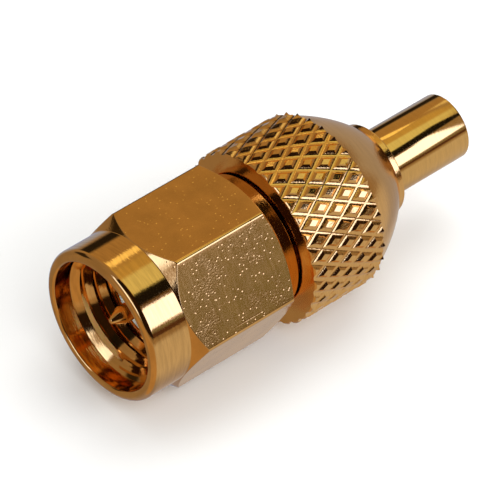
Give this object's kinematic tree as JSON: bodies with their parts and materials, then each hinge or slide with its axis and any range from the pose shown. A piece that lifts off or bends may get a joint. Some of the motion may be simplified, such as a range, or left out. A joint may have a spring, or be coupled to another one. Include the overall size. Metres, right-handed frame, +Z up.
{
  "type": "coaxial connector adapter",
  "caption": "Gold-plated coaxial adapter: screw-on plug with a hex coupling nut, diamond-knurled domed body and a small push-on jack barrel.",
  "frame": {"origin": "centre of the plug's reference plane, the front face of its contact sleeve", "axes": "+X along the part from the plug's mouth to the jack's end, +Z up, with one flat of the nut facing down"},
  "size_m": [0.0221, 0.0092, 0.0092],
  "materials": {
    "gold_nut": "gold plating over turned brass, fine turning marks and small pits",
    "gold_shell": "gold plating over turned brass, smooth",
    "gold_knurl": "gold plating over rolled diamond knurl",
    "gold_barrel": "gold plating, bright and smooth",
    "gold_contact": "gold plating, bright",
    "ring_bronze": "bare spring bronze",
    "insulator": "white fluoropolymer, smooth",
    "silicone": "soft silicone rubber"
  },
  "bodies": {
    "adapter": {"plug_shell": "gold_shell", "knurled_body": "gold_knurl", "jack_shell": "gold_barrel", "gasket": "silicone", "front_insulator": "insulator", "rear_insulator": "insulator", "centre_pin": "gold_contact", "socket_contact": "gold_contact"},
    "ring": {"retaining_ring": "ring_bronze"},
    "nut": {"coupling_nut": "gold_nut"}
  },
  "joints": [
    {"name": "nut_play", "type": "slide", "parent": "adapter", "child": "ring", "axis": [1, 0, 0], "range_m": [0, 0.0001]},
    {"name": "nut_turn", "type": "hinge", "parent": "ring", "child": "nut", "pos_m": [0, 0, 0], "axis": [1, 0, 0], "continuous": true}
  ]
}
